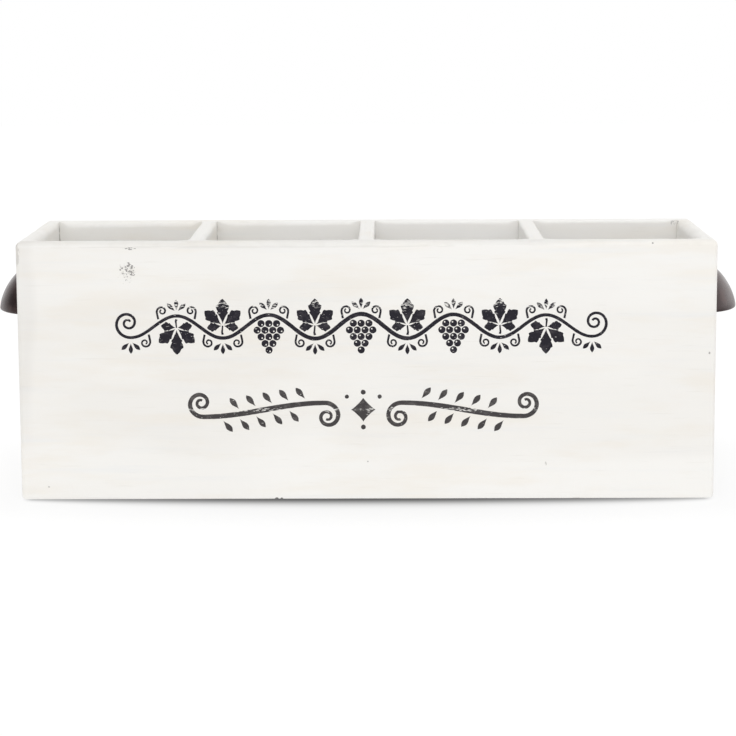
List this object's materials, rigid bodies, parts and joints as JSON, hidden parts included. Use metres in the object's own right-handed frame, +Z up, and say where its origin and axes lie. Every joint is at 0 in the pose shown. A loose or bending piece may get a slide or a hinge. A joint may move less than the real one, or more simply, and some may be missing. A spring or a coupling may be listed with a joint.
{
  "type": "wine rack",
  "caption": "Open-topped painted wooden box with a row of equal bottle cells between flush dividers and a dark cup handle on each end.",
  "frame": {"origin": "on the surface it stands on, under the middle of the box", "axes": "+X along the row of cells, to the right as seen from the front; +Y from the front to the back; +Z up"},
  "size_m": [0.4394, 0.108, 0.15],
  "materials": {
    "white_paint": "chalky white paint on pine, brushed and lightly rubbed at the edges",
    "dark_bronze": "satin dark bronze lacquer on pressed steel",
    "screw_steel": "satin dark bronze",
    "brad_steel": "bright drawn wire",
    "stencil_paint": "flat charcoal stencil paint, worn through in places"
  },
  "bodies": {
    "root": {"front_panel": "white_paint", "back_panel": "white_paint", "left_end_panel": "white_paint", "right_end_panel": "white_paint", "base_panel": "white_paint", "left_divider": "white_paint", "middle_divider": "white_paint", "right_divider": "white_paint", "left_cup_handle": "dark_bronze", "right_cup_handle": "dark_bronze", "left_handle_front_screw": "screw_steel", "left_handle_back_screw": "screw_steel", "right_handle_front_screw": "screw_steel", "right_handle_back_screw": "screw_steel", "front_left_corner_brad_1": "brad_steel", "front_left_corner_brad_2": "brad_steel", "front_left_corner_brad_3": "brad_steel", "front_right_corner_brad_1": "brad_steel", "front_right_corner_brad_2": "brad_steel", "front_right_corner_brad_3": "brad_steel", "left_divider_front_brad_1": "brad_steel", "left_divider_front_brad_2": "brad_steel", "middle_divider_front_brad_1": "brad_steel", "middle_divider_front_brad_2": "brad_steel", "right_divider_front_brad_1": "brad_steel", "right_divider_front_brad_2": "brad_steel", "base_front_brad_1": "brad_steel", "base_front_brad_2": "brad_steel", "base_front_brad_3": "brad_steel", "base_front_brad_4": "brad_steel", "back_left_corner_brad_1": "brad_steel", "back_left_corner_brad_2": "brad_steel", "back_left_corner_brad_3": "brad_steel", "back_right_corner_brad_1": "brad_steel", "back_right_corner_brad_2": "brad_steel", "back_right_corner_brad_3": "brad_steel", "left_divider_back_brad_1": "brad_steel", "left_divider_back_brad_2": "brad_steel", "middle_divider_back_brad_1": "brad_steel", "middle_divider_back_brad_2": "brad_steel", "right_divider_back_brad_1": "brad_steel", "right_divider_back_brad_2": "brad_steel", "base_back_brad_1": "brad_steel", "base_back_brad_2": "brad_steel", "base_back_brad_3": "brad_steel", "base_back_brad_4": "brad_steel", "base_left_brad_1": "brad_steel", "base_left_brad_2": "brad_steel", "base_right_brad_1": "brad_steel", "base_right_brad_2": "brad_steel"}
  },
  "joints": []
}
